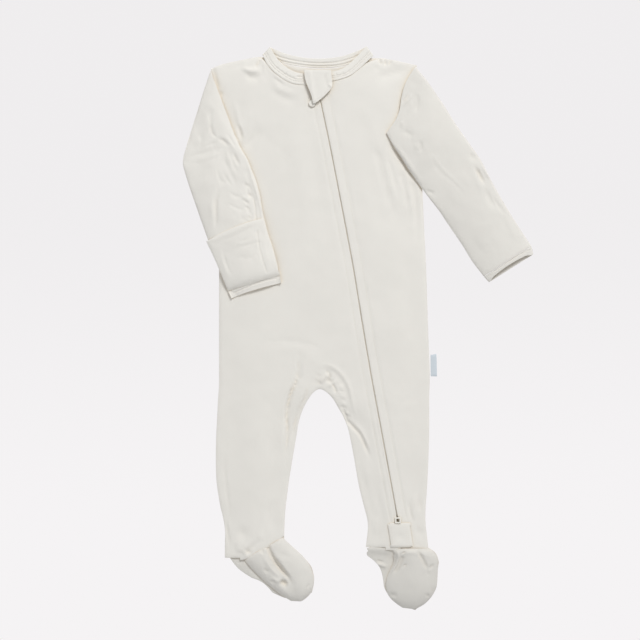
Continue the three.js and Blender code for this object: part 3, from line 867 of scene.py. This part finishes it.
# %% Fronts
front_right = cloth(
    "front_right_cloth", "front_right", creases=front_creases, seams=FRONT_SEAMS, form=close_slit
)
finish_as(front_right, body_jersey, "back_cloth")
front_left = cloth(
    "front_left_cloth", "front_left", creases=front_creases, seams=FRONT_SEAMS, form=shape_front_left
)
finish_as(front_left, body_jersey, "back_cloth")

# %% [markdown]
# ## Sleeves
# Each sleeve is a flattened tube, turned down over the side of the body. The right one bends at the
# elbow, so its folds fan out from there, and its underarm seam has rolled to the front.

# %% Creases of the sleeves
MOUTH_SAG = ([(-91, 91), (-66, 100), (-40, 107)], 12.0, -2.8, (0, 0))
CUFF_SEAM_RIGHT = [(-90.5, 97.5), (-66, 107), (-43, 113.8)]
RIGHT_SLEEVE = [
    MOUTH_SAG,
    (CUFF_SEAM_RIGHT, 3.4, -1.1, (0, 0)),
    ([(-114, 273), (-110, 260), (-104, 256)], 1.6, -0.8),
    ([(-106, 257), (-98, 252), (-93, 246)], 1.6, -0.9),
    ([(-90, 243), (-86, 234), (-82, 226)], 1.5, -0.9),
    ([(-104, 262), (-92, 252), (-84, 240)], 2.6, 0.5),
    ([(-118, 288), (-112, 270), (-116, 252)], 1.6, -0.35),
    ([(-96, 262), (-89, 250), (-84, 243)], 1.3, -0.5),
    ([(-92, 236), (-88, 226), (-84, 220)], 1.2, -0.6),
    ([(-98, 246), (-95, 238), (-90, 230)], 1.3, 0.4),
    ([(-122, 246), (-112, 250), (-104, 252)], 1.2, -0.4),
    ([(-100, 222), (-96, 214), (-90, 206)], 1.2, -0.5),
    ([(-106, 228), (-104, 216), (-100, 204)], 1.3, -0.4),
    ([(-94, 200), (-86, 196), (-78, 196)], 1.1, -0.5),
    ([(-96, 190), (-86, 184), (-76, 182)], 1.1, -0.4),
    ([(-76, 210), (-72.5, 204)], 1.0, -1.0),
    ([(-74, 200), (-70, 194)], 1.0, -1.1),
    ([(-78, 186), (-71, 182)], 1.0, -0.8),
    ([(-76, 176), (-69, 172)], 1.0, -0.7),
    ([(-114, 292), (-112, 280), (-113, 268)], 2.6, -0.5),
    ([(-140, 237), (-120, 241), (-101, 248)], 1.8, -0.3),
    ([(-138, 231), (-116, 236), (-98, 243)], 2.2, 0.35),
    ([(-124, 262), (-122, 252), (-128, 244)], 2.0, -0.4),
    ([(-104, 240), (-96, 228), (-88, 212), (-84, 204)], 2.2, -0.5),
    ([(-98, 240), (-88, 224)], 2.2, 0.4),
    ([(-103, 206), (-107, 190), (-107, 174), (-108, 160)], 1.9, -1.2),
    ([(-110, 204), (-112, 182), (-109, 164)], 2.4, 0.5),
    ([(-96, 208), (-104, 216)], 2.0, -0.4),
    ([(-77, 226), (-72, 206), (-67.5, 190), (-66, 176), (-64.5, 162), (-63.5, 152)], 0.9, -0.8, (1, 0)),
    ([(-80, 214), (-75, 204), (-71, 192)], 1.8, -0.6),
    ([(-78, 240), (-72, 222), (-66, 203), (-61.5, 186), (-58.5, 168)], 1.4, 0.9, (1, 0)),
    ([(-82, 198), (-74, 192), (-69, 190)], 1.5, 0.5),
    ([(-80, 194), (-72, 187)], 1.2, -0.6),
    ([(-76, 184), (-68, 174)], 1.4, -0.5),
    ([(-130, 262), (-118, 256)], 3.0, -0.3),
    ([(-122, 296), (-104, 282)], 4.0, 0.4),
    ([(-84, 176), (-70, 168)], 2.4, -0.4),
    ([(-98, 176), (-86, 170)], 3.0, 0.3),
]
LEFT_SLEEVE = [
    ([(72, 256), (84, 240), (97, 221), (110, 203)], 2.2, 0.8),
    ([(82, 288), (90, 295), (98, 304)], 1.4, 0.9),
    ([(83, 291), (89, 297), (94, 302)], 0.9, -0.8),
    ([(98, 304), (100, 292), (96, 281)], 2.2, -0.7),
    ([(90, 279), (93, 290), (97, 299)], 2.4, 0.4),
    ([(84, 264), (90, 261), (96, 257)], 2.4, -0.6),
    ([(80, 272), (88, 270)], 2.4, 0.4),
    ([(101, 254), (104, 248), (102, 241)], 1.8, -0.7),
    ([(98, 252), (100, 243)], 2.0, 0.4),
    ([(159, 229), (163, 221), (170, 208)], 1.6, -2.0),
    ([(154, 241), (161, 233)], 2.6, -1.2),
    ([(168, 208), (174, 195), (182, 181)], 2.6, -1.0),
    ([(166, 232), (170, 224), (177, 212)], 2.2, 0.8),
    ([(176, 200), (183, 188), (192, 176)], 1.6, -0.6),
    ([(154, 232), (163, 212), (172, 192)], 3.6, 0.6),
    ([(168, 226), (175, 214)], 1.8, 0.5),
    ([(109, 247), (126, 225), (140, 212), (154, 197)], 1.2, 0.25),
    ([(107, 243), (124, 221), (138, 209), (152, 193)], 1.6, -0.2),
    ([(110, 204), (113, 201), (118, 199)], 1.8, -0.7),
    ([(184, 180), (192, 166), (200, 156)], 3.0, -0.4),
    ([(188, 176), (198, 160), (206, 150)], 3.0, 0.4),
    ([(150, 152), (160, 146), (172, 134)], 4.0, -0.4),
    ([(120, 236), (134, 206), (142, 190)], 8.0, 0.4),
    ([(92, 318), (104, 308)], 3.0, -0.4),
]

# %% Sleeves
sleeve_jersey_right = jersey("jersey_sleeve_right", turn=-18)
# The left sleeve and its cuff are painted 6% darker: painted shade where the sleeve slopes away from the
# key light.
sleeve_jersey_left_shaded = jersey("jersey_sleeve_left_painted_shade", turn=-38, brightness_scale=0.94)
sleeve_right = cloth(
    "sleeve_right_cloth", "sleeve_right", tube=True, creases=RIGHT_SLEEVE, unrest=0.6, roll=0.15
)
finish_as(sleeve_right, sleeve_jersey_right, "front_right_cloth")
sleeve_left = cloth(
    "sleeve_left_cloth", "sleeve_left", tube=True, creases=LEFT_SLEEVE, unrest=0.55, roll=0.15,
    form=bend_armhole,
)
finish_as(sleeve_left, sleeve_jersey_left_shaded, "front_left_cloth")

# %% [markdown]
# ## Mitten and cuffs
# The right sleeve ends in a fold-over mitten: a second layer, hemmed at its top edge, that can be
# turned over the hand. Both cuffs are hems sewn with a twin-needle coverstitch.

# %% Mitten flap and cuffs
HEM_ROWS = {
    "right": [[(-88, 101), (-67, 110), (-46, 115.6)], [(-87.2, 97), (-66, 106.4), (-43, 112.5)]],
    "left": [
        [(169.6, 115.7), (199, 136.3), (216.7, 146.6)],
        [(172.6, 113.2), (201, 132.6), (218.6, 142.6)],
    ],
}
HEM_RIGHT = [(row, 0.8, -0.5, (0, 0)) for row in HEM_ROWS["right"]]
HEM_LEFT = [(row, 0.8, -0.25, (0, 0)) for row in HEM_ROWS["left"]]
CUFF_REACH = 8.0


def open_cuff(start, end, way, gape, both=0.0):
    """Draws a cuff's mouth back, most in its middle: both layers, and the upper one by the gape too."""

    def form(points):
        low, high = points[:, 2].min(), points[:, 2].max()
        upper = smooth((points[:, 2] - low) / (high - low) * 3 - 1.2)
        a, b = np.array(start), np.array(end)
        across = np.clip(((points[:, :2] - a) @ (b - a)) / ((b - a) @ (b - a)), 0, 1)
        along = np.clip((points[:, :2] - a) @ np.array(way) / CUFF_REACH, 0, 1)
        back_by = (gape * upper + both) * along * np.sin(np.pi * across) ** 0.6
        points[:, :2] -= back_by[:, None] * np.array(way)
        return points

    return form


MITTEN = [
    MOUTH_SAG,
    (CUFF_SEAM_RIGHT, 2.6, -0.85, (0, 0)),
    ([(-112, 150.5), (-93, 158), (-80, 164), (-60, 174)], 1.3, 0.25, (0, 0)),
    ([(-112, 146), (-90, 154.5), (-78, 160), (-62, 168)], 1.5, -0.25),
    ([(-64.5, 160), (-62.5, 144), (-60.5, 136.5), (-57.5, 126), (-55, 119)], 0.9, -0.6, (0, 0)),
    ([(-91, 143), (-79.5, 144.5), (-65, 148.5), (-54, 149)], 1.2, -0.45),
    ([(-88, 153), (-80, 150), (-68, 156)], 1.0, -0.25),
    ([(-84, 136), (-76, 132), (-66, 136)], 1.2, -0.2),
    ([(-100, 140), (-96, 126), (-90, 112)], 1.0, -0.3),
    ([(-104, 144), (-100, 130), (-93, 112)], 2.0, 0.3),
    ([(-58, 158), (-56, 140), (-50, 122)], 2.0, 0.3),
    ([(-94, 138), (-74, 138), (-62, 142)], 3.0, 0.25),
    ([(-106, 146), (-100, 126), (-93, 106)], 1.4, 0.2),
]
mitten = cloth(
    "mitten_flap_cloth", "mitten_flap_right", creases=[*MITTEN, *HEM_RIGHT], unrest=0.6, roll=0.55,
    wall=0.7 * MM,
)
finish_as(mitten, sleeve_jersey_right, "sleeve_right_cloth")
cuff_right = cloth(
    "cuff_right_cloth", "cuff_band_right", tube=True, creases=[MOUTH_SAG, *HEM_RIGHT],
    seams=[(CUFF_SEAM_RIGHT, 2.0, 0.1)], unrest=0.1, roll=0.1,
    form=open_cuff((-94.3, 98.2), (-40.7, 114.4), (0.23, -0.97), 0.3, both=1.9),
)
finish_as(cuff_right, sleeve_jersey_right, "front_right_cloth")
cuff_left = cloth(
    "cuff_left_cloth", "cuff_band_left", tube=True, creases=HEM_LEFT, unrest=0.1, roll=0.1,
    form=open_cuff((168.9, 113.4), (217.3, 144.8), (0.54, -0.84), 4.4),
)
finish_as(cuff_left, sleeve_jersey_left_shaded, "floor")

# %% [markdown]
# ## Neck binding and zip guard
# A folded strip of jersey binds the neck in three lengths. The front two are sunk a little at their
# seams, so that they meet the fronts. The guard is a folded triangle of cloth that keeps the slider
# off the chin, and a small square patch closes the zip's lower end.

# %% Lines of the binding
# Pairs of points along each binding: on its seam, and on its free edge.
BACK_BAND = [
    ((-59.5, 342.5), (-51.5, 350.5)), ((-41, 334.5), (-38, 344)), ((-20, 330.5), (-19, 339.5)),
    ((0, 329), (0, 338)), ((20, 330), (20, 340)), ((37, 335.2), (36, 345)), ((54.5, 343), (48, 351)),
]
RIGHT_BAND = [
    ((-60, 341), (-51.5, 350.5)), ((-51.5, 328), (-44.5, 337.5)), ((-41, 319), (-35, 329)),
    ((-29, 312), (-25, 323.5)), ((-16.5, 311), (-15.5, 322.5)),
]
LEFT_BAND = [
    ((55, 341.5), (48, 351)), ((43, 330), (36, 338.5)), ((31, 320), (26, 328.5)),
    ((20.5, 317), (17.5, 325.5)), ((12.5, 315), (10.5, 325)),
]
BAND_PUCKERS = [
    ([(-46, 326), (-41.5, 330)], 1.0, -0.35),
    ([(-41.5, 322.5), (-37.5, 326.5)], 1.0, -0.4),
    ([(-37.5, 319.5), (-33.5, 324)], 1.0, -0.4),
    ([(-33.5, 317.5), (-30, 321.5)], 1.0, -0.4),
    ([(-29, 316), (-26.5, 320)], 1.0, -0.4),
    ([(-25, 319), (-17, 319.3)], 1.0, -0.7),
    ([(16, 320), (17.5, 324)], 1.0, -0.35),
    ([(22, 321), (24.5, 325)], 1.0, -0.35),
    ([(28, 323), (31, 327)], 1.0, -0.3),
]


def between(pairs, share):
    """The line that lies at a share of the way from the seam to the free edge."""
    return [tuple(Vector(a).lerp(Vector(b), share)) for a, b in pairs]


# %% Bindings
band_jersey = jersey("jersey_band", turn=60, brightness_scale=1.01)
BANDS = [
    ("band_back", "neck_band_back", "floor", BACK_BAND, (0.22, 0.56), 0.125),
    ("band_right", "neck_band_front_right", "front_right_cloth", RIGHT_BAND, (0.3, 0.47), 0.075),
    ("band_left", "neck_band_front_left", "front_left_cloth", LEFT_BAND, (0.3, 0.47), 0.080),
]
for name, node, under, pairs, shares, length in BANDS:
    rows = [(between(pairs, share), 0.8, -0.45, (0, 0)) for share in shares]
    sunk = [(between(pairs, 0.0), 3.0, -0.5, (0, 0))] if under != "floor" else []
    creases = [*rows, *BAND_PUCKERS, *sunk]
    band = cloth(name, node, levels=3, creases=creases, unrest=0.15, roll=0.12, wall=0.8 * MM)
    finish_as(band, band_jersey, under)

# %% Guard and end patch
GUARD_CREASES = [
    ([(-11, 324), (-8, 306), (-6, 295)], 2.0, 0.4, (0, 0)),
    ([(4, 326), (6, 312), (9, 307)], 2.2, -0.35),
    ([(8, 312), (13, 308)], 1.5, 0.5, (1, 0)),
]
guard = cloth("zip_guard_cloth", "zip_guard", levels=3, creases=GUARD_CREASES, unrest=0.15, roll=0.2)
finish_as(guard, band_jersey, "zip_slider")
patch = cloth(
    "zip_end_patch_cloth", "zip_end_patch", creases=[([(82, -148), (83, -160)], 4.0, -0.5)],
    seams=[([(73, -164.4), (92, -164.4)], 1.6, 1.2), ([(73, -141.5), (92, -141.5)], 1.2, 0.1)],
    unrest=0.15,
)
finish_as(patch, body_jersey, "front_left_cloth")

# %% [markdown]
# ## Feet
# The foot is a rounded upper on a sole. Lying on its side it folds over itself, so its creases are
# deeper than anywhere else. The soles come first, because the uppers rest on them, and the left
# sole's allowance reaches under the leg.

# %% Creases of the feet
RIGHT_FOOT = [
    ([(-78, -176), (-66, -169), (-50, -160.5), (-36, -152.5)], 2.2, -1.1, (0, 0)),
    ([(-42, -200), (-37, -201.5), (-33, -204)], 2.6, -3.2),
    ([(-52, -196), (-44, -199), (-38, -196)], 2.4, 1.0),
    ([(-55, -162), (-48.5, -176), (-40.5, -186.5), (-32.5, -196), (-28.5, -206)], 2.0, -2.6, (0, 1)),
    ([(-60, -170), (-52, -184), (-44, -193), (-37, -198)], 2.4, 1.2),
    ([(-50, -166), (-42, -177), (-34, -188), (-27, -198)], 2.6, 0.9),
    ([(-61, -165), (-58, -172)], 1.8, -1.1, (0, 1)),
    ([(-58, -186), (-53, -192)], 1.8, -0.8),
    ([(-52, -199), (-45, -201)], 1.8, -0.9),
    ([(-42, -171), (-34, -174), (-27, -177)], 3.0, -0.7),
    ([(-14, -204), (-11, -206)], 2.2, -0.7),
    ([(-20, -180), (-14, -192)], 4.0, 0.4),
]
LEFT_FOOT = [
    ([(66, -166.5), (95, -166.5), (122, -167)], 1.6, -0.8, (0, 0)),
    ([(78, -172), (90, -170), (104, -171), (116, -176)], 2.2, 0.7),
    ([(80, -171), (80, -177), (77, -185), (70, -195)], 1.5, 1.2, (0, 1)),
    ([(84.5, -176), (80.5, -185), (75, -193)], 1.8, -1.2, (0, 1)),
    ([(72, -172), (77, -171)], 2.0, -1.6),
    ([(70, -178), (74, -180)], 1.6, -1.4),
    ([(101.5, -170), (106.5, -179.5), (110, -187), (113, -196)], 1.8, -1.3, (0, 1)),
    ([(107, -184), (114, -192)], 1.8, 0.8),
    ([(86, -169), (87, -171)], 2.4, -1.2),
    ([(87, -182), (88, -184)], 2.6, -1.1),
    ([(114, -183), (116, -186)], 2.4, -1.1),
    ([(117, -207), (115, -210)], 2.6, -1.2),
    ([(112, -213), (109, -216)], 2.0, -0.9),
    ([(71, -214), (80, -214.5)], 2.2, -1.1),
    ([(90, -190), (96, -208)], 6.0, 0.5),
]
LEFT_SOLE = [
    ([(48, -166), (58, -167), (72, -168)], 5.0, 1.7, (0, 0)),
    ([(56, -182), (64, -184), (70, -187)], 1.8, 1.6),
    ([(58, -178.5), (66, -181)], 1.2, -0.8),
]

# %% Soles and uppers
# The feet are painted 10% and 14% darker than the body: painted shade, where the feet tilt away from the
# light.
foot_jersey_right_shaded = jersey("jersey_foot_right_painted_shade", turn=-35, brightness_scale=0.90)
foot_jersey_left_shaded = jersey("jersey_foot_left_painted_shade", turn=12, brightness_scale=0.86)
sole_right = cloth("sole_right_cloth", "foot_sole_right", unrest=0.1, roll=0.2)
finish_as(sole_right, foot_jersey_right_shaded, "floor")
sole_left = cloth(
    "sole_left_cloth", "foot_sole_left", levels=4, creases=LEFT_SOLE,
    seams=[([(48, -166.4), (80, -166.2)], 3.0, 0.0)], unrest=0.1, roll=0.2,
)
finish_as(sole_left, foot_jersey_left_shaded, "floor")
upper_right = cloth("upper_right_cloth", "foot_upper_right", creases=RIGHT_FOOT, unrest=0.5)
finish_as(upper_right, foot_jersey_right_shaded, "sole_right_cloth")
upper_left = cloth("upper_left_cloth", "foot_upper_left", creases=LEFT_FOOT, unrest=0.5)
finish_as(upper_left, foot_jersey_left_shaded, "sole_left_cloth")

# %% [markdown]
# ## The zip
# Two woven tapes carry a fine coil. The coil's loops are small grains set along the zip's line, one
# for every 1.3 mm. Slider, pull and stop keep their CAD form, with a small bevel.

# %% Finishes of the zip
tape_mat = material("zip_tape", (0.86, 0.83, 0.76), (0.82, 0.79, 0.72), 0.85, wales=1800, bump=0.25)
coil_mat = material("zip_coil", (0.88, 0.84, 0.75), (0.84, 0.80, 0.70), 0.5)
plastic_mat = material("zip_plastic", (0.80, 0.785, 0.74), (0.78, 0.765, 0.72), 0.42)
label_mat = material("label_satin", (0.60, 0.66, 0.71), (0.57, 0.63, 0.68), 0.5, wales=2600, bump=0.15)


def dressed(obj, mat):
    """Smooth faces, a material and a body: what every finished part needs."""
    smooth_faces(obj.data)
    obj.data.materials.append(mat)
    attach(obj, "root")
    return obj


def solid(name, node, mat, bevel=0.0):
    """A copy of a CAD solid in its own finish, its edges rounded by the bevel."""
    obj = dressed(new_object(name, node_mesh(node)), mat)
    if bevel:
        edge_round = obj.modifiers.new("edges", "BEVEL")
        edge_round.width = bevel * MM
        edge_round.segments = 3
        edge_round.limit_method = "ANGLE"
        edge_round.angle_limit = math.radians(40)
        edge_round.harden_normals = True
    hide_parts(node)
    return obj


for side in ("right", "left"):
    tape = solid(f"tape_{side}", f"zip_tape_{side}", tape_mat)
coil = solid("coil_base", "zip_coil", coil_mat)
for name, bevel in (("slider", 0.5), ("pull", 0.35), ("stop", 0.3)):
    solid(name, f"zip_{name}", plastic_mat, bevel=bevel)


# %% Walking along a line, and one grain
GRAIN_SIDES, GRAIN_RINGS = 6, 4
ABOVE_ALL = 60
UP = Vector((0, 0, 1))


def walk(line, pitch):
    """Even steps along a line: a point and a direction at each."""
    pts = [Vector(p[:2]) for p in curve([(*p, 0) for p in line], 16)]
    left = pitch / 2
    for a, b in zip(pts, pts[1:]):
        gap = (b - a).length
        while left <= gap and gap > 0:
            yield a.lerp(b, left / gap), (b - a).normalized()
            left += pitch
        left -= gap


def blob(bm, centre, way, normal, size):
    """A small rounded grain, its length along the given way."""
    z = normal.normalized()
    x = (way - z * way.dot(z)).normalized()
    turn = Matrix((x, z.cross(x), z)).transposed().to_4x4()
    scale = Matrix.Diagonal((*[s * MM / 2 for s in size], 1))
    place_it = Matrix.Translation(centre) @ turn @ scale
    bmesh.ops.create_uvsphere(
        bm, u_segments=GRAIN_SIDES, v_segments=GRAIN_RINGS, radius=1, matrix=place_it
    )


# %% Loops of the coil
COIL_LINE = [(-2.6, 304), *ZIP_LINE[1:-1], (76.5, -131)]
COIL_PITCH = 1.3
COIL_LOOP = (2.4, 0.75, 0.8)

coil_tree = tree_of(coil.data)
teeth = bmesh.new()
for at, way in walk(COIL_LINE, COIL_PITCH):
    hit = coil_tree.ray_cast(place(at.x, at.y, ABOVE_ALL), -UP)[0]
    if hit is not None:
        across = Vector((-way.y, way.x, 0))
        blob(teeth, hit + UP * 0.1 * MM, across, UP, COIL_LOOP)
coil_loops = dressed(new_object("coil_teeth", teeth), coil_mat)
print("coil loops:", len(coil_loops.data.polygons) // (GRAIN_SIDES * GRAIN_RINGS))

# %% [markdown]
# ## The side label
# A folded satin ribbon, caught in the left side seam. It stays blank.

# %% Label
label = cloth("side_label_cloth", "side_label", levels=3, unrest=0.15, roll=0.1, wall=0.5 * MM)
finish_as(label, label_mat, "front_left_cloth")

# %% [markdown]
# ## Stitches
# Each visible stitch is a short rounded grain, laid on the cloth along a seam's line. Rows of
# topstitching follow the zip, and pairs of rows, a coverstitch, follow the neck and cuffs.


# %% Sewing helper
THREAD = (0.38, 0.3)


def on_cloth(names, at):
    """The highest point of the named pieces there, and which way their surface faces."""
    start = place(at.x, at.y, ABOVE_ALL)
    hits = [shaped[name].ray_cast(start, -UP) for name in names]
    hits = [(h[0].z, h[0], h[1]) for h in hits if h[0] is not None]
    return max(hits, key=lambda h: h[0])[1:] if hits else None


def sew(bm, line, names, pitch, length):
    """A row of stitches along a line, on top of the named pieces."""
    for at, way in walk(line, pitch):
        spot = on_cloth(names, at)
        if spot is not None:
            blob(bm, spot[0], Vector((way.x, way.y, 0)), spot[1], (length, *THREAD))


# %% Rows of stitches
TOPSTITCH = {"pitch": 3.0, "length": 2.2}
COVERSTITCH = {"pitch": 2.6, "length": 1.9}
PATCH_STITCH = {"pitch": 2.2, "length": 1.6}
HEMS = {
    "right": ["mitten_flap_cloth", "cuff_right_cloth", "sleeve_right_cloth"],
    "left": ["sleeve_left_cloth", "cuff_left_cloth"],
}
PATCH_ROWS = [
    [(71, -142), (73, -162)], [(73, -142), (75, -162)],
    [(90, -143), (92, -161)], [(88, -143), (90, -161)],
]

thread_mat = material("thread", (0.77, 0.75, 0.70), (0.74, 0.72, 0.67), 0.7)
threads = bmesh.new()
for row, front in zip(zip_rows, ("front_right_cloth", "front_left_cloth")):
    sew(threads, row[1:], [front], **TOPSTITCH)
for side, names in HEMS.items():
    for row in HEM_ROWS[side]:
        sew(threads, row, names, **COVERSTITCH)
for name, _, _, pairs, shares, _ in BANDS:
    for share in shares:
        sew(threads, between(pairs, share), [name], **COVERSTITCH)
for row in PATCH_ROWS:
    sew(threads, row, ["zip_end_patch_cloth"], **PATCH_STITCH)
stitches = dressed(new_object("stitches", threads), thread_mat)
print("stitches:", len(stitches.data.polygons) // (GRAIN_SIDES * GRAIN_RINGS))

# %% [markdown]
# ## Counting triangles
# Every shown piece is counted in triangles after its modifiers, and the sum is printed.

# %% Output
total = 0
graph = bpy.context.evaluated_depsgraph_get()
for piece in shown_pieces():
    mesh = piece.evaluated_get(graph).to_mesh()
    mesh.calc_loop_triangles()
    total += len(mesh.loop_triangles)
print("triangles in all:", total)
